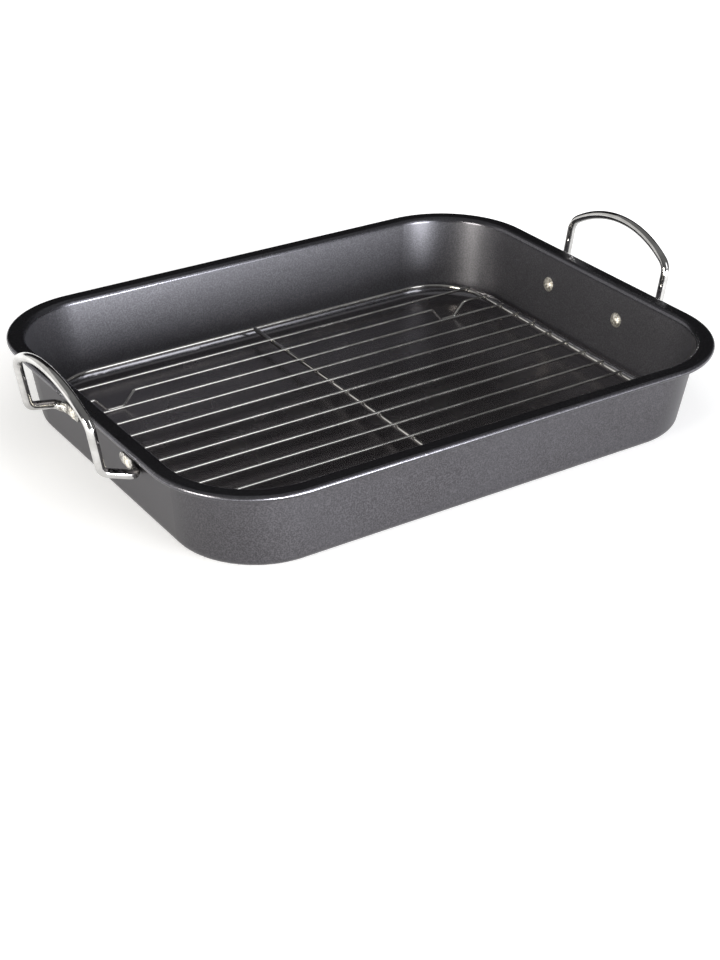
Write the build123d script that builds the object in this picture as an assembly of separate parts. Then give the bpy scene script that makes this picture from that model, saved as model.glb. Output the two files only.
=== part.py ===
from build123d import *
from math import atan, cos, degrees, radians, sin, sqrt, tan
import os

# Roasting pan with a lift-out wire rack. Millimetres and degrees.
# The origin is under the middle of the pan, on the surface that it stands on.
# X runs along the length, from handle to handle, and Z is up.

# Pan, pressed from one steel sheet
rim_length = 370.0
rim_width = 289.6
pan_height = 53.5
sheet_thickness = 0.8
rim_reach = 10.1
rim_curl_radius = 1.9
rim_curl_turn = 250.0
rim_bend_radius = 2.4
wall_lean = 7.2
wall_corner_radius = 50.8
floor_corner_radius = 49.6
floor_bend_radius = 5.6
cut_overrun = 2.0

# Handles, each bent from one round rod
rod_diameter = 5.5
handle_spread = 92.0
handle_stand_off = 19.0
handle_base_height = 37.5
handle_leg_length = 29.9
handle_lean = 9.2
handle_arch_rise = 15.6
arch_corner_radius = 10.0
leg_bend_radius = 6.0
foot_bend_radius = 4.0
foot_spread = 100.0
tab_height = 32.6
tab_width = 7.6
tab_thickness = 1.8
tab_edge_radius = 0.8
tab_reach_past_rivet = 8.0
tab_press_length = 5.0

# Rivets that hold the handles to the end walls
rivet_spacing = 68.0
rivet_shank_diameter = 5.0
rivet_head_diameter = 9.5
rivet_head_rise = 2.2
rivet_tail_diameter = 7.0
rivet_tail_rise = 1.0

# Wire rack
rack_length = 315.8
rack_width = 244.5
rack_place_y = 2.2
rack_seat_gap = 0.3
frame_wire_diameter = 2.8
frame_corner_radius = 35.5
long_wire_diameter = 1.8
long_wire_count = 12
long_wire_pitch = 17.54
long_wire_overhang = 0.9
cross_wire_place_x = -2.0
weld_sink = 0.3
foot_height = 8.7
foot_bottom_length = 11.0
foot_slope_run = 7.8
foot_place_x = 124.9
foot_bend_radius_wire = 2.2
foot_wire_inset_count = 1

# Worked out from the sizes above
rod_radius = rod_diameter / 2
wire_radius = long_wire_diameter / 2
frame_radius = frame_wire_diameter / 2
lean_tan = tan(radians(wall_lean))
lean_sin = sin(radians(wall_lean))
lean_cos = cos(radians(wall_lean))
wall_top_height = pan_height - sheet_thickness - rim_bend_radius * (1 - lean_sin)
wall_half_length = rim_length / 2 - rim_reach
wall_half_width = rim_width / 2 - rim_reach
floor_half_length = wall_half_length - wall_top_height * lean_tan
floor_half_width = wall_half_width - wall_top_height * lean_tan
foot_wire_height = sheet_thickness + rack_seat_gap + wire_radius
long_wire_height = foot_wire_height + foot_height
frame_height = long_wire_height - wire_radius - frame_radius + weld_sink
frame_half_length = rack_length / 2 - frame_radius
frame_half_width = rack_width / 2 - frame_radius


def wall_outline(height, inset):
    # The wall's outline at a height, moved in from its outer face
    share = height / wall_top_height
    corner = floor_corner_radius + (wall_corner_radius - floor_corner_radius) * share - inset
    half_length = floor_half_length + height * lean_tan - inset
    half_width = floor_half_width + height * lean_tan - inset
    return Pos(0, 0, height) * RectangleRounded(2 * half_length, 2 * half_width, corner)


def make_tray():
    # Floor and leaning walls, with the round bend where they meet
    outside = loft([wall_outline(0, 0), wall_outline(wall_top_height, 0)], ruled=True)
    outer_edges = outside.edges().group_by(Axis.Z)[0]
    outside = fillet(outer_edges, floor_bend_radius + sheet_thickness)
    inset = sheet_thickness / lean_cos
    inside_top = wall_top_height + cut_overrun
    inside = loft([wall_outline(sheet_thickness, inset), wall_outline(inside_top, inset)], ruled=True)
    inner_edges = inside.edges().group_by(Axis.Z)[0]
    inside = fillet(inner_edges, floor_bend_radius)
    return outside - inside


def rim_section(offset):
    # The sheet's section from the top of the wall, over the flange and round the curl
    bend_x = offset + rim_bend_radius * lean_cos
    bend_z = wall_top_height - rim_bend_radius * lean_sin
    under_z = pan_height - sheet_thickness
    curl_x = offset + rim_reach - rim_curl_radius
    curl_z = pan_height - rim_curl_radius
    curl_inner = rim_curl_radius - sheet_thickness
    bend_outer = rim_bend_radius + sheet_thickness

    def around(center_x, center_z, radius, angle):
        turn = radians(angle)
        return (center_x + radius * cos(turn), center_z + radius * sin(turn))

    bend_start = 180 - wall_lean
    bend_middle = (bend_start + 90) / 2
    curl_end = 90 - rim_curl_turn
    curl_middle = 90 - rim_curl_turn / 2
    under_start = around(bend_x, bend_z, rim_bend_radius, bend_start)
    under_end = (bend_x, under_z)
    inner_start = (curl_x, under_z)
    inner_end = around(curl_x, curl_z, curl_inner, curl_end)
    outer_end = around(curl_x, curl_z, rim_curl_radius, curl_end)
    top_end = (curl_x, pan_height)
    top_start = (bend_x, pan_height)
    bend_top = around(bend_x, bend_z, bend_outer, bend_start)
    wall_inside = (offset - sheet_thickness / lean_cos, wall_top_height)
    edges = [
        ThreePointArc(under_start, around(bend_x, bend_z, rim_bend_radius, bend_middle), under_end),
        Line(under_end, inner_start),
        ThreePointArc(inner_start, around(curl_x, curl_z, curl_inner, curl_middle), inner_end),
        Line(inner_end, outer_end),
        ThreePointArc(outer_end, around(curl_x, curl_z, rim_curl_radius, curl_middle), top_end),
        Line(top_end, top_start),
        ThreePointArc(top_start, around(bend_x, bend_z, bend_outer, bend_middle), bend_top),
        Line(bend_top, wall_inside),
        Line(wall_inside, under_start),
    ]
    return Plane.XZ * make_face(edges)


def make_rim():
    # Four straight runs and four turned corners of the same section
    straight_y = wall_half_width - wall_corner_radius
    straight_x = wall_half_length - wall_corner_radius
    end_run = extrude(rim_section(wall_half_length), straight_y, both=True)
    side_run = extrude(rim_section(wall_half_width), straight_x, both=True)
    corner = revolve(rim_section(wall_corner_radius), Axis.Z, 90)
    pieces = []
    for turn in (0, 180):
        pieces.append(Rot(0, 0, turn) * end_run)
        pieces.append(Rot(0, 0, turn + 90) * side_run)
    corner_places = [(1, 1, 0), (-1, 1, 90), (-1, -1, 180), (1, -1, 270)]
    for side_x, side_y, turn in corner_places:
        pieces.append(Pos(side_x * straight_x, side_y * straight_y, 0) * Rot(0, 0, turn) * corner)
    return pieces


def tab_plane():
    # On the outer face of the +X end wall: x along the wall, y up it, z out of it
    wall_x = floor_half_length + tab_height * lean_tan
    return Plane(origin=(wall_x, 0, tab_height), x_dir=(0, 1, 0), z_dir=(lean_cos, 0, -lean_sin))


def make_pan_body():
    body = make_tray().fuse(*make_rim()).clean()
    hole = Cylinder(rivet_shank_diameter / 2, 2 * cut_overrun + 2 * sheet_thickness)
    for turn in (0, 180):
        for side in (-1, 1):
            place = tab_plane() * Pos(side * rivet_spacing / 2, 0, 0)
            body = body - Rot(0, 0, turn) * place * hole
    return body


def make_rivet():
    # One rivet on its own axis: domed head inside the pan, flattened tail on the tab
    shank = rivet_shank_diameter / 2
    head = rivet_head_diameter / 2
    tail = rivet_tail_diameter / 2
    head_z = -sheet_thickness
    head_tip = head_z - rivet_head_rise
    tail_tip = tab_thickness + rivet_tail_rise
    head_round = (head ** 2 + rivet_head_rise ** 2) / (2 * rivet_head_rise)
    tail_round = (tail ** 2 + rivet_tail_rise ** 2) / (2 * rivet_tail_rise)
    edges = [
        RadiusArc((0, head_tip), (head, head_z), -head_round),
        Line((head, head_z), (shank, head_z)),
        Line((shank, head_z), (shank, tab_thickness)),
        Line((shank, tab_thickness), (tail, tab_thickness)),
        RadiusArc((tail, tab_thickness), (0, tail_tip), -tail_round),
        Line((0, tail_tip), (0, head_tip)),
    ]
    return revolve(Plane.XZ * make_face(edges), Axis.Z, 360)


def handle_half_path():
    # The rod's middle line from the pressed tab round to the crown of the arch
    lean = radians(handle_lean)
    wall_x = floor_half_length + handle_base_height * lean_tan
    base = Vector(wall_x + handle_stand_off + rod_radius, 0, handle_base_height)
    rise = Vector(sin(lean), 0, cos(lean))
    across = Vector(0, 1, 0)
    half = handle_spread / 2
    wall_corner = tab_plane().from_local_coords((foot_spread / 2, 0, rod_radius))
    leg_corner = base + across * half

    arch_radius = (half ** 2 + handle_arch_rise ** 2) / (2 * handle_arch_rise)
    arch_center = handle_leg_length + handle_arch_rise - arch_radius
    bend_x = half - arch_corner_radius
    reach = arch_radius - arch_corner_radius
    bend_rise = sqrt(reach ** 2 - bend_x ** 2)
    bend_z = arch_center + bend_rise
    bend_angle = degrees(atan(bend_rise / bend_x))

    def in_plane(x, z):
        return base + across * x + rise * z

    def on_bend(angle):
        turn = radians(angle)
        return in_plane(bend_x + arch_corner_radius * cos(turn), bend_z + arch_corner_radius * sin(turn))

    def on_arch(angle):
        turn = radians(angle)
        return in_plane(arch_radius * cos(turn), arch_center + arch_radius * sin(turn))

    leg_end = on_bend(0)
    turn_angle = (leg_corner - wall_corner).get_angle(across)
    bend_reach = foot_bend_radius * tan(radians(turn_angle) / 2)
    start = wall_corner - across * bend_reach
    foot_run = FilletPolyline(
        start - across * tab_press_length,
        wall_corner,
        leg_corner,
        leg_end,
        radius=[foot_bend_radius, leg_bend_radius],
    )
    corner = ThreePointArc(leg_end, on_bend(bend_angle / 2), on_bend(bend_angle))
    arch = ThreePointArc(on_bend(bend_angle), on_arch((bend_angle + 90) / 2), on_arch(90))
    edges = foot_run.edges().sort_by_distance(start - across * tab_press_length)[1:]
    return start, Wire(list(edges) + [corner.edge(), arch.edge()])


def make_handle():
    # Both halves of the rod, each ending in a tab pressed flat against the wall
    start, path = handle_half_path()
    plane = tab_plane()
    start_y = plane.to_local_coords(start).X
    root_y = start_y - tab_press_length
    tip_y = rivet_spacing / 2 - tab_reach_past_rivet
    rod = sweep(Plane(origin=start, z_dir=(0, 1, 0)) * Circle(rod_radius), path=path)

    def across_rod(place_y, lift):
        return plane * Plane(origin=(place_y, 0, lift), x_dir=(0, 1, 0), z_dir=(1, 0, 0))

    tab_section = across_rod(root_y, tab_thickness / 2) * RectangleRounded(tab_width, tab_thickness, tab_edge_radius)
    rod_section = across_rod(start_y, rod_radius) * Circle(rod_radius)
    pressed = loft([tab_section, rod_section])
    tab = extrude(tab_section, -(root_y - tip_y))
    slot_length = root_y - tip_y + tab_width
    slot = SlotOverall(slot_length, tab_width)
    tab_shape = plane * Pos(tip_y + slot_length / 2, 0, 0) * extrude(slot, tab_thickness)
    hole = plane * Pos(rivet_spacing / 2, 0, 0) * Cylinder(rivet_shank_diameter / 2, 2 * cut_overrun + 2 * tab_thickness)
    half = rod.fuse(pressed, tab & tab_shape) - hole
    return half.fuse(mirror(half, Plane.XZ)).clean()


def make_rack_frame():
    # One closed loop of the heavier wire
    outline = RectangleRounded(2 * frame_half_length, 2 * frame_half_width, frame_corner_radius).wire()
    path = Pos(0, rack_place_y, frame_height) * outline
    section = Plane(origin=path @ 0, z_dir=path % 0) * Circle(frame_radius)
    return sweep(section, path=path)


def make_cross_wire(frame):
    # Runs between the frame's long sides, its ends cut to seat on them
    wire = Cylinder(frame_radius, 2 * frame_half_width, rotation=(90, 0, 0))
    return Pos(cross_wire_place_x, rack_place_y, frame_height) * wire - frame


def frame_reach(place_y):
    # How far the frame's middle line reaches along X at a distance from the rack's middle
    into_corner = abs(place_y) - (frame_half_width - frame_corner_radius)
    if into_corner <= 0:
        return frame_half_length
    drop = frame_corner_radius - sqrt(frame_corner_radius ** 2 - into_corner ** 2)
    return frame_half_length - drop


def long_wire_path(half_length, with_feet):
    # The wire's middle line, straight or with a foot bent down near each end
    if not with_feet:
        return Line((-half_length, 0, 0), (half_length, 0, 0))
    near = foot_place_x - foot_bottom_length / 2 - foot_slope_run
    near_low = foot_place_x - foot_bottom_length / 2
    far_low = foot_place_x + foot_bottom_length / 2
    far = foot_place_x + foot_bottom_length / 2 + foot_slope_run
    right = [
        (near, 0, 0),
        (near_low, 0, -foot_height),
        (far_low, 0, -foot_height),
        (far, 0, 0),
        (half_length, 0, 0),
    ]
    left = [(-x, y, z) for x, y, z in reversed(right)]
    return FilletPolyline(*left, *right, radius=foot_bend_radius_wire)


def make_long_wire(index, frame, cross_wire):
    # Wires are counted from the front, and lie on the frame and the cross wire
    place_y = (index - (long_wire_count - 1) / 2) * long_wire_pitch
    from_edge = min(index, long_wire_count - 1 - index)
    path = long_wire_path(frame_reach(place_y) + long_wire_overhang, from_edge == foot_wire_inset_count)
    section = Plane(origin=path @ 0, z_dir=path % 0) * Circle(wire_radius)
    wire = Pos(0, rack_place_y + place_y, long_wire_height) * sweep(section, path=path)
    return wire - frame - cross_wire


def build_parts():
    parts = {"pan_body": make_pan_body()}
    handle = make_handle()
    parts["right_handle"] = handle
    parts["left_handle"] = Rot(0, 0, 180) * handle
    rivet = make_rivet()
    places = {"rear": 1, "front": -1}
    for name, side in places.items():
        right = tab_plane() * Pos(side * rivet_spacing / 2, 0, 0) * rivet
        left = Rot(0, 0, 180) * (tab_plane() * Pos(-side * rivet_spacing / 2, 0, 0) * rivet)
        parts["right_" + name + "_rivet"] = right
        parts["left_" + name + "_rivet"] = left
    frame = make_rack_frame()
    cross_wire = make_cross_wire(frame)
    parts["rack_frame"] = frame
    parts["rack_cross_wire"] = cross_wire
    for index in range(long_wire_count):
        from_edge = min(index, long_wire_count - 1 - index)
        kind = "foot" if from_edge == foot_wire_inset_count else "long"
        name = "rack_" + kind + "_wire_" + str(index + 1).zfill(2)
        parts[name] = make_long_wire(index, frame, cross_wire)
    return parts


os.makedirs("parts", exist_ok=True)
for name, solid in build_parts().items():
    export_step(solid, "parts/" + name + ".step")
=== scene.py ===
# %% [markdown]
# # A roasting pan with its wire rack
#
# This lesson dresses a finished CAD model. The pan, its two bent handles, the rivets
# and the rack already have their true shape, so nothing is modelled twice. What is left
# is what makes metal look like metal: the coating, the plating, and the light.

# %% Open the packed model
import math

import bpy
from mathutils import Matrix, Vector


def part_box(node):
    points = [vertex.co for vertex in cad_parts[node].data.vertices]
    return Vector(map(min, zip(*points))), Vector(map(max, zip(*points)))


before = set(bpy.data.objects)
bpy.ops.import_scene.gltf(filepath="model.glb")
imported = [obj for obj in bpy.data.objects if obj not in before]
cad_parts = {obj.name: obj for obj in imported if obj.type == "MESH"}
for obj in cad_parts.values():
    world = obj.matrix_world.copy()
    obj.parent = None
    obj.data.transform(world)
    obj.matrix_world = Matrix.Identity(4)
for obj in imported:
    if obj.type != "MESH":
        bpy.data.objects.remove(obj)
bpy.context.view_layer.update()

# %% [markdown]
# ## Measuring instead of guessing
#
# Every finish below follows the real piece: the speckle belongs to the walls, the crumpled
# metal to the pressed ends of a rod. So the lesson first asks the model where these are.
# Blender counts in metres, and a pan is thought of in millimetres, so one value turns the
# one into the other.

# %% Millimetres, and where the pan stands
MM = 0.001
pan_low, pan_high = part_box("pan_body")
print("the pan is", round((pan_high.z - pan_low.z) / MM, 1), "mm high")

# %% [markdown]
# ## A small kit for node materials
#
# A procedural material is a chain of nodes. Writing each link out makes a long script, so
# one short class adds a node, feeds its sockets by name and gives back its result. A
# socket takes either a plain value or the result of another node, and `feed` sees which.

# %% A chain of nodes
class Chain:
    def __init__(self, owner):
        owner.use_nodes = True
        self.tree = owner.node_tree
        self.tree.nodes.clear()

    def add(self, kind, inputs=(), **settings):
        node = self.tree.nodes.new(kind)
        for name, value in settings.items():
            setattr(node, name, value)
        for socket, value in dict(inputs).items():
            self.feed(node.inputs[socket], value)
        return node

    def feed(self, socket, value):
        if isinstance(value, bpy.types.NodeSocket):
            self.tree.links.new(value, socket)
        else:
            socket.default_value = value

    def end(self, shader, kind="ShaderNodeOutputMaterial"):
        self.add(kind, {"Surface": shader.outputs[0]})

    def math(self, what, first, second=0.0):
        return self.add("ShaderNodeMath", {0: first, 1: second}, operation=what).outputs[0]

    def times(self, first, second):
        return self.math("MULTIPLY", first, second)

    def ramp(self, value, low, high, to_low=0.0, to_high=1.0, curve="SMOOTHSTEP"):
        sockets = {"Value": value, "From Min": low, "From Max": high,
                   "To Min": to_low, "To Max": to_high}
        return self.add("ShaderNodeMapRange", sockets, interpolation_type=curve).outputs["Result"]

    def shown_rays(self):
        # One for rays that show a thing to the eye or in a mirror, zero for the light it casts
        path = self.add("ShaderNodeLightPath").outputs
        shown = self.math("MAXIMUM", path["Is Camera Ray"], path["Is Glossy Ray"])
        return self.math("MAXIMUM", shown, path["Is Transmission Ray"])


print("the kit has", len([name for name in vars(Chain) if not name.startswith("_")]), "tools")

# %% [markdown]
# A finish is a chain that ends in a metal surface. It knows two more things: the place of
# a point on the piece, and which way the surface leans there. Both come from the piece
# itself, so the finish rides along when the rack is lifted out.

# %% A finish for metal
class Finish(Chain):
    def __init__(self, name):
        self.material = bpy.data.materials.new(name)
        super().__init__(self.material)
        coordinates = self.add("ShaderNodeTexCoord").outputs
        self.place, self.lean = coordinates["Object"], coordinates["Normal"]

    def part_of(self, vector, axis):
        return self.add("ShaderNodeSeparateXYZ", {0: vector}).outputs[axis]

    def noise(self, per_metre, detail, roughness):
        sockets = {"Vector": self.place, "Scale": per_metre,
                   "Detail": detail, "Roughness": roughness}
        return self.add("ShaderNodeTexNoise", sockets).outputs["Fac"]

    def blend(self, share, first, second):
        sockets = {"Factor": share, "A": first, "B": second}
        return self.add("ShaderNodeMix", sockets, data_type="RGBA").outputs["Result"]

    def relief(self, height, strength, distance, under=None):
        sockets = {"Strength": strength, "Distance": distance, "Height": height}
        if under is not None:
            sockets["Normal"] = under
        return self.add("ShaderNodeBump", sockets).outputs["Normal"]

    def metal(self, tint, rough, share, relief):
        sockets = {"Base Color": tint, "Roughness": rough, "Metallic": share, "Normal": relief}
        self.end(self.add("ShaderNodeBsdfPrincipled", sockets))


print("a finish adds", len([name for name in vars(Finish) if not name.startswith("_")]), "more")

# %% [markdown]
# A finish then has to be put on its pieces. A packed piece already has slots for its
# materials, so the finish only takes their place and the mesh itself is left alone.

# %% Putting a finish on
def wear(node_names, finish):
    for node_name in node_names:
        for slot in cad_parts[node_name].material_slots:
            slot.material = finish.material
    print(finish.material.name, "covers", len(node_names), "of the", len(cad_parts), "pieces")


# %% [markdown]
# ## The non-stick coating
#
# The pan is a steel sheet with a dark coating that holds fine metal flakes. It is satin on
# the walls, smoother on the floor, where the sheet was pressed flat, and smoothest on the
# bend between them, where it was stretched over the punch. A flake coating could be a
# second clear layer, but a mostly metallic shader with a dark colour gives the same grey
# sheen with one layer, and it keeps its look in other programs.
#
# One sheet has one material. So masks tell its surfaces apart: the height above the table
# finds the floor and the rim, and the lean of the surface finds the inside of a wall,
# which looks slightly up, and the bend, which turns from level to upright.

# %% Where the pan's surfaces are
coating = Finish("flake_coating")
place_z = coating.part_of(coating.place, "Z")
slope = coating.part_of(coating.lean, "Z")
bend_low, bend_high = 4.5 * MM, 7.5 * MM
rim_low, rim_high = pan_high.z - 3.6 * MM, pan_high.z - 2.4 * MM
outer_slope, inner_slope = -0.11, 0.02
steep, leaning, shallow, level = 0.15, 0.40, 0.80, 0.97

inside = coating.ramp(slope, outer_slope, inner_slope)
on_floor = coating.times(coating.ramp(place_z, bend_low, bend_high, 1.0, 0.0), inside)
on_rim = coating.ramp(place_z, rim_low, rim_high)
on_bend = coating.times(coating.ramp(slope, steep, leaning),
                        coating.ramp(slope, shallow, level, 1.0, 0.0))
on_bend = coating.times(on_bend, on_floor)
on_wall = coating.math("SUBTRACT", 1.0, coating.math("MAXIMUM", on_floor, on_rim))
print("the rim starts", round(rim_low / MM, 1), "mm up, and the floor's bend ends",
      round(bend_high / MM, 1), "mm up")

# %% [markdown]
# The speckle is a fine noise between two greys. The coating is one and the same, but
# the inside of the pan has the lighter pair, as painted light, and the outside the darker
# pair, as painted shade. A slow, large noise then clouds it a little, as sprayed coatings
# are never quite even. The floor's greys are lighter still, which paints brighter
# reflections on it, and a pale grey on the floor's bend is a painted highlight. The ends
# given with a noise say which of its values turn fully dark or light.

# %% Grey flake colour
flakes_per_metre, clouds_per_metre = 1150.0, 28.0
flake = coating.noise(flakes_per_metre, detail=2.0, roughness=0.6)
cloud = coating.noise(clouds_per_metre, detail=3.0, roughness=0.5)
flake_ends, cloud_ends, patch_ends = (0.36, 0.70), (0.35, 0.70), (0.30, 0.70)
# The inside pair is painted light and the outside pair painted shade on one coating.
inner_lit_dark, inner_lit_light = (0.090, 0.089, 0.099, 1), (0.146, 0.144, 0.160, 1)
outer_shaded_dark, outer_shaded_light = (0.056, 0.054, 0.059, 1), (0.094, 0.091, 0.099, 1)
# The floor's lighter greys paint brighter reflections on it; its patches differ at random.
floor_brightened_dark, floor_brightened_light = (0.210, 0.197, 0.205, 1), (0.230, 0.217, 0.225, 1)
# The second grey, for the floor's bend, is a painted highlight.
cloud_grey, bend_highlight_grey = (0.088, 0.087, 0.097, 1), (0.30, 0.30, 0.325, 1)
cloud_most, bend_highlight_share = 0.25, 0.7

flake_share = coating.ramp(flake, *flake_ends)
inner_lit_grey = coating.blend(flake_share, inner_lit_dark, inner_lit_light)
outer_shaded_grey = coating.blend(flake_share, outer_shaded_dark, outer_shaded_light)
wall_grey = coating.blend(inside, outer_shaded_grey, inner_lit_grey)
wall_grey = coating.blend(coating.ramp(cloud, *cloud_ends, 0.0, cloud_most), wall_grey, cloud_grey)
floor_brightened_grey = coating.blend(coating.ramp(cloud, *patch_ends), floor_brightened_dark, floor_brightened_light)
coat_grey = coating.blend(on_floor, wall_grey, floor_brightened_grey)
# Blend in the painted highlight along the floor's bend.
coat_grey = coating.blend(coating.times(on_bend, bend_highlight_share), coat_grey, bend_highlight_grey)
print("a flake is about", round(1 / flakes_per_metre / MM, 1), "mm across")

# %% [markdown]
# Roughness says how blurred a surface mirrors. The walls are satin, so a lamp becomes a
# broad soft patch on them. The floor and the rim mirror more clearly. The inner walls get
# a little plain paint colour besides the metal, which keeps them from turning black where
# they mirror nothing bright.

# %% Satin walls, smoother floor and rim
inner_satin, outer_satin = (0.34, 0.44), (0.36, 0.46)
satin_ends, bend_polish = (0.30, 0.75), 0.07
smooth_low, smooth_high = 0.24, 0.28
metal_share, paint_inside = 0.94, 0.28
flake_relief, flake_height = 0.30, 0.05 * MM

satin_low = coating.ramp(inside, 0.0, 1.0, outer_satin[0], inner_satin[0])
satin_high = coating.ramp(inside, 0.0, 1.0, outer_satin[1], inner_satin[1])
satin = coating.ramp(flake, *satin_ends, satin_low, satin_high)
smooth = coating.math("SUBTRACT", coating.ramp(cloud, *patch_ends, smooth_low, smooth_high),
                      coating.times(on_bend, bend_polish))
off_wall = coating.math("SUBTRACT", 1.0, on_wall)
coat_rough = coating.math("ADD", coating.times(satin, on_wall), coating.times(smooth, off_wall))
inner_wall = coating.times(inside, on_wall)
coat_metal = coating.math("SUBTRACT", metal_share, coating.times(inner_wall, paint_inside))
coat_relief = coating.relief(flake, coating.times(on_wall, flake_relief), flake_height)
coating.metal(coat_grey, coat_rough, coat_metal, coat_relief)
wear(["pan_body"], coating)

# %% [markdown]
# ## Chrome on the handle rods
#
# Each handle is one steel rod, bent cold, with bright chrome on it. Real plating is never a
# perfect mirror: it is uneven along the rod, and the ends that a press has flattened for
# the rivets stay crumpled and cloudy. Separate materials for rod and tab would leave a hard
# line between them, so one material blends from the one to the other by position.

# %% Where a rod is pressed flat
rod_chrome = Finish("rod_chrome")
rivet_low, rivet_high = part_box("right_rear_rivet")
flat_end = rivet_high.x + 1.5 * MM
flat_fade = 2.0 * MM
from_middle = rod_chrome.math("ABSOLUTE", rod_chrome.part_of(rod_chrome.place, "X"))
pressed = rod_chrome.ramp(from_middle, flat_end, flat_end + flat_fade, 1.0, 0.0)
print("the rods are flat up to", round(flat_end / MM, 1), "mm from the middle")

# %% Bright rod chrome
rod_cloud = rod_chrome.noise(90.0, detail=4.0, roughness=0.6)
rod_fine = rod_chrome.noise(1400.0, detail=2.0, roughness=0.5)
crumple = rod_chrome.noise(560.0, detail=3.0, roughness=0.6)
tint_ends, dull_ends, crumple_ends = (0.35, 0.65), (0.30, 0.75), (0.42, 0.60)
rod_dark, rod_light = (0.47, 0.465, 0.455, 1), (0.60, 0.595, 0.585, 1)
flat_dark, flat_light = (0.26, 0.245, 0.22, 1), (0.78, 0.77, 0.73, 1)
rod_smooth, rod_dull, flat_dull = 0.06, 0.14, 0.16
fine_relief, fine_height = 0.04, 0.03 * MM
crumple_relief, crumple_height = 0.75, 0.6 * MM

rod_tint = rod_chrome.blend(rod_chrome.ramp(rod_cloud, *tint_ends), rod_dark, rod_light)
flat_tint = rod_chrome.blend(rod_chrome.ramp(crumple, *crumple_ends), flat_dark, flat_light)
rod_tint = rod_chrome.blend(pressed, rod_tint, flat_tint)
rod_rough = rod_chrome.math("ADD", rod_chrome.ramp(rod_cloud, *dull_ends, rod_smooth, rod_dull),
                            rod_chrome.times(pressed, flat_dull))
rod_relief = rod_chrome.relief(rod_fine, fine_relief, fine_height)
rod_relief = rod_chrome.relief(crumple, rod_chrome.times(pressed, crumple_relief),
                               crumple_height, rod_relief)
rod_chrome.metal(rod_tint, rod_rough, 1.0, rod_relief)
wear(["right_handle", "left_handle"], rod_chrome)

# %% [markdown]
# ## Chrome on the rack
#
# The rack is thinner wire with a plainer plating, so it is a touch less polished than the
# handles, and a little cloudy along its length. It needs no masks: every wire is round.

# %% Duller wire chrome
wire_chrome = Finish("wire_chrome")
wire_cloud = wire_chrome.noise(60.0, detail=3.0, roughness=0.5)
wire_fine = wire_chrome.noise(2200.0, detail=2.0, roughness=0.5)
wire_dark, wire_light = (0.57, 0.56, 0.54, 1), (0.72, 0.71, 0.68, 1)
wire_smooth, wire_dull = 0.10, 0.20
wire_fine_relief, wire_fine_height = 0.02, 0.02 * MM

wire_tint = wire_chrome.blend(wire_chrome.ramp(wire_cloud, *tint_ends), wire_dark, wire_light)
wire_rough = wire_chrome.ramp(wire_cloud, *dull_ends, wire_smooth, wire_dull)
wire_relief = wire_chrome.relief(wire_fine, wire_fine_relief, wire_fine_height)
wire_chrome.metal(wire_tint, wire_rough, 1.0, wire_relief)
wear([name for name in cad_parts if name.startswith("rack_")], wire_chrome)

# %% [markdown]
# ## Rivets
#
# The rivets are soft metal. Each has a domed head inside the pan, and its tail is hammered
# flat over the tab. Riveting leaves both faces mottled, so the same noise drives their
# colour, polish and relief.

# %% Mottled rivet metal
rivet_metal = Finish("rivet_metal")
mottle = rivet_metal.noise(600.0, detail=3.0, roughness=0.6)
mottle_ends, beaten_ends = (0.38, 0.62), (0.30, 0.70)
rivet_dark, rivet_light = (0.36, 0.33, 0.28, 1), (0.90, 0.87, 0.80, 1)
rivet_smooth, rivet_dull, rivet_share = 0.34, 0.52, 0.75
mottle_relief, mottle_height = 0.55, 0.35 * MM

rivet_tint = rivet_metal.blend(rivet_metal.ramp(mottle, *mottle_ends), rivet_dark, rivet_light)
rivet_rough = rivet_metal.ramp(mottle, *beaten_ends, rivet_smooth, rivet_dull)
rivet_relief = rivet_metal.relief(mottle, mottle_relief, mottle_height)
rivet_metal.metal(rivet_tint, rivet_rough, rivet_share, rivet_relief)
wear([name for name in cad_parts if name.endswith("_rivet")], rivet_metal)

# %% [markdown]
# ## The studio
#
# Metal is lit by what it reflects, so the studio is built from what the pan should mirror.
# Whatever stands in it but is not part of the pan is put in the scene by one helper.

# %% A helper to put things in the scene
def place_in_scene(name, data):
    thing = bpy.data.objects.new(name, data)
    bpy.context.scene.collection.objects.link(thing)
    return thing


def sheet(name, points, faces, material):
    mesh = bpy.data.meshes.new(name)
    mesh.from_pydata(points, [], faces)
    mesh.materials.append(material)
    return place_in_scene(name, mesh)


# %% [markdown]
# A white table in a photograph is lit brighter than the object on it. Here it glows a
# little to the eye, and fully white a short way off. Close to the pan it glows least, so
# that its real soft shadow stays, and this also paints a soft shade round the pan. The
# metal mirrors that glow, painted shade and all, as it would mirror a bright table, but the
# glow casts no light. Stronger lamps would whiten the table too, and burn out the chrome.

# %% White table
table_half, table_drop = 6.0, 0.05 * MM
table_white = (0.80, 0.80, 0.80, 1)
# Near the pan the glow is weakest, which paints a soft shade round it.
glow_near, glow_far, glow_shaded_near, glow_full = 0.21, 0.38, 0.40, 1.0

table_material = bpy.data.materials.new("white_table")
table_chain = Chain(table_material)
table_place = table_chain.add("ShaderNodeTexCoord").outputs["Object"]
table_reach = table_chain.add("ShaderNodeVectorMath", {0: table_place}, operation="LENGTH")
glow = table_chain.ramp(table_reach.outputs["Value"], glow_near, glow_far,
                        glow_shaded_near, glow_full, "LINEAR")
glow = table_chain.times(table_chain.shown_rays(), glow)
paint = table_chain.add("ShaderNodeBsdfDiffuse", {"Color": table_white})
glow_shader = table_chain.add("ShaderNodeEmission", {"Strength": glow})
both = {0: paint.outputs[0], 1: glow_shader.outputs[0]}
table_chain.end(table_chain.add("ShaderNodeAddShader", both))

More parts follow.
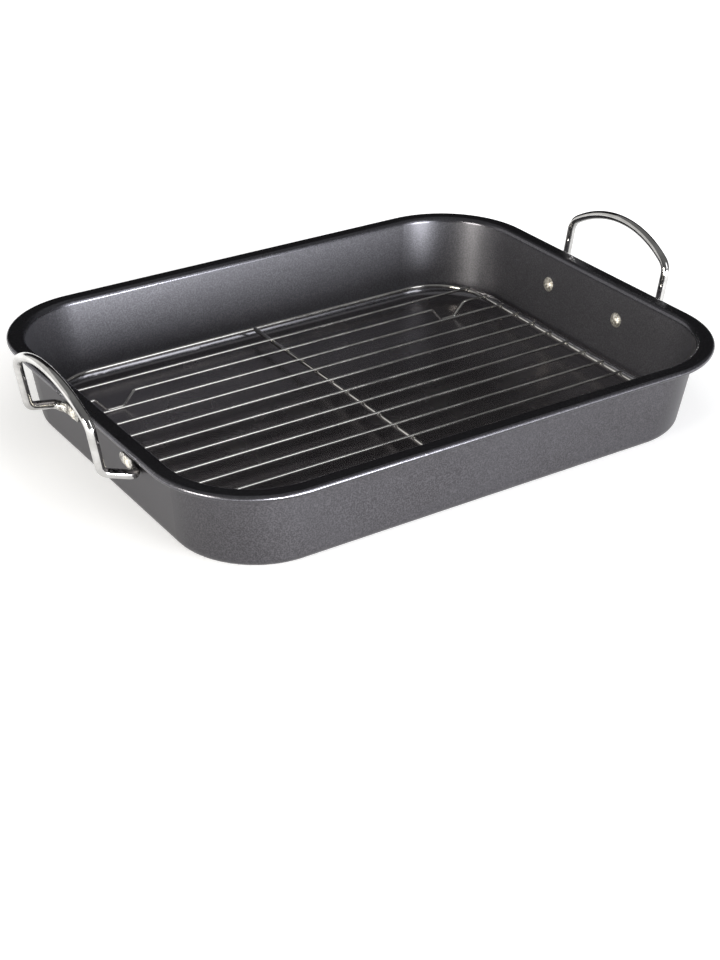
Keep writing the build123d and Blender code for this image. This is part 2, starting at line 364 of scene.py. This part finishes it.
table_corners = [(-table_half, -table_half, 0), (table_half, -table_half, 0),
                 (table_half, table_half, 0), (-table_half, table_half, 0)]
table = sheet("table_top", table_corners, [(0, 1, 2, 3)], table_material)
table.location.z = pan_low.z - table_drop
print("the table is", round(2 * table_half, 1), "m wide and lies just under the pan")

# %% [markdown]
# The room round the table is plain white to the eye, and lights the pan evenly from all
# sides at less than half that level. That soft light fills what the lamps leave dark.

# %% Plain white room
room_fill, room_seen = 0.44, 1.0
room = bpy.data.worlds.new("white_room")
bpy.context.scene.world = room
room_chain = Chain(room)
room_level = room_chain.ramp(room_chain.shown_rays(), 0.0, 1.0, room_fill, room_seen)
room_light = {"Color": (1, 1, 1, 1), "Strength": room_level}
room_chain.end(room_chain.add("ShaderNodeBackground", room_light), "ShaderNodeOutputWorld")
print("the room's light is", round(room_fill / room_seen, 2), "of its white")

# %% [markdown]
# The lamps in front and to the left stand very low: the front rim hides them from the foot
# of the back wall, which is why that wall is bright at its top and dark below. Each also
# leaves one upright band in the rounded corners, because a corner turns through every
# direction and one strip of it always faces halfway between the lamp and the eye. A far
# strip stands higher, so far off that it lights all the wires alike, and a small lamp at
# the level of the table brightens the outside of the near corner.

# %% Soft boxes
aim = Vector((0.0, 0.0, 0.03))


def soft_box(name, azimuth, elevation, distance, width, height, watts, tint):
    lamp = bpy.data.lights.new(name, "AREA")
    lamp.shape = "RECTANGLE"
    lamp.size = width
    lamp.size_y = height
    lamp.energy = watts
    lamp.color = tint
    turn, lift = math.radians(azimuth), math.radians(elevation)
    level_reach = math.cos(lift)
    away = Vector((level_reach * math.cos(turn), level_reach * math.sin(turn), math.sin(lift)))
    spot = aim + distance * away
    facing = (aim - spot).to_track_quat("-Z", "Y").to_matrix().to_4x4()
    box = place_in_scene(name, lamp)
    box.matrix_world = Matrix.Translation(spot) @ facing
    box.visible_camera = False
    white = watts / (math.pi * width * height)
    print(name, "shines with", round(white, 2), "times plain white")


cool, warm, plain = (0.97, 0.98, 1.0), (1.0, 0.96, 0.87), (1.0, 0.99, 0.98)
soft_box("front_box", azimuth=-79, elevation=3.7, distance=1.3,
         width=0.60, height=0.22, watts=31.0, tint=cool)
soft_box("front_strip", azimuth=-68, elevation=33, distance=1.6,
         width=0.60, height=0.88, watts=4.6, tint=cool)
soft_box("left_box", azimuth=-168, elevation=8.5, distance=1.2,
         width=0.45, height=0.36, watts=13.5, tint=warm)
soft_box("corner_foot", azimuth=-106, elevation=0.0, distance=0.9,
         width=0.14, height=0.05, watts=10.0, tint=plain)

# %% [markdown]
# A polished surface would also mirror the white room and turn pale. So a grey tent stands
# round the set, seen in the metal alone. Behind the pan it has a dark card, which the
# floor and the rim mirror towards the eye, and beside the card a lighter wall for the
# handles. Darker paint on the pan would look alike from here, but wrong from elsewhere.

# %% Grey tent with its dark card
tent_radius, tent_height, tent_sides = 2.6, 2.3, 48
tent_roof_grey = (0.22, 0.22, 0.22)
tent_walls = (  # name, middle and half width in degrees, colour: the first that fits is taken
    ("tent_card", 56, 41, (0.018, 0.017, 0.018)),
    ("tent_light", 133, 25, (0.90, 0.89, 0.87)),
    ("tent_wall", 0, 181, (0.15, 0.15, 0.155)),
)


def tent_part(name, points, faces, tint):
    material = bpy.data.materials.new(name)
    chain = Chain(material)
    chain.end(chain.add("ShaderNodeEmission", {"Color": (*tint, 1)}))
    part = sheet(name, points, faces, material)
    for kind in ("camera", "diffuse", "transmission", "volume_scatter", "shadow"):
        setattr(part, "visible_" + kind, False)


turns = [2 * math.pi * side / tent_sides for side in range(tent_sides)]
tent_ring = [(tent_radius * math.cos(turn), tent_radius * math.sin(turn)) for turn in turns]
tent_foot = [(x, y, 0.0) for x, y in tent_ring]
tent_edge = [(x, y, tent_height) for x, y in tent_ring]
tent_faces = {name: [] for name, middle, spread, tint in tent_walls}
for side in range(tent_sides):
    following = (side + 1) % tent_sides
    bearing = 360 * (side + 0.5) / tent_sides
    for name, middle, spread, tint in tent_walls:
        if abs((bearing - middle + 180) % 360 - 180) < spread:
            tent_faces[name].append((side, following, tent_sides + following, tent_sides + side))
            break
for name, middle, spread, tint in tent_walls:
    tent_part(name, tent_foot + tent_edge, tent_faces[name], tint)
tent_part("tent_roof", tent_edge, [tuple(range(tent_sides))], tent_roof_grey)
print("the tent is", round(2 * tent_radius, 1), "m wide, and its card takes",
      len(tent_faces["tent_card"]), "of", tent_sides, "panels")

# %% [markdown]
# ## The camera
#
# The eye stands in front of the pan's left end, looking down at about thirty degrees. The
# numbers come from fitting a camera to the pan's outlines, so they are not round. The
# camera's three directions are worked out first, and its matrix is put together from them.

# %% Camera
eye_azimuth, eye_elevation, eye_distance, eye_roll = -33.76, 29.32, 1100.26 * MM, 0.56
slide_right, slide_up = 0.13 * MM, -41.67 * MM
focal_pixels, image_height, sensor = 1800.68, 960, 36.0

turn, lift, roll = (math.radians(angle) for angle in (eye_azimuth, eye_elevation, eye_roll))
back = Vector((math.sin(turn) * math.cos(lift), -math.cos(turn) * math.cos(lift), math.sin(lift)))
right = Vector((math.cos(turn), math.sin(turn), 0.0))
up = back.cross(right)
tilted_right = math.cos(roll) * right + math.sin(roll) * up
tilted_up = -math.sin(roll) * right + math.cos(roll) * up
eye = back * eye_distance + tilted_right * slide_right + tilted_up * slide_up

lens = bpy.data.cameras.new("camera")
lens.sensor_fit = "VERTICAL"
lens.sensor_height = sensor
lens.sensor_width = sensor
lens.lens = sensor * focal_pixels / image_height
camera = place_in_scene("camera", lens)
turned = Matrix((tilted_right, tilted_up, back)).transposed().to_4x4()
camera.matrix_world = Matrix.Translation(eye) @ turned
bpy.context.scene.camera = camera
bpy.context.scene.view_settings.view_transform = "Standard"
print("the lens is", round(lens.lens, 1), "mm and the eye is", round(eye.length, 2), "m away")

# %% [markdown]
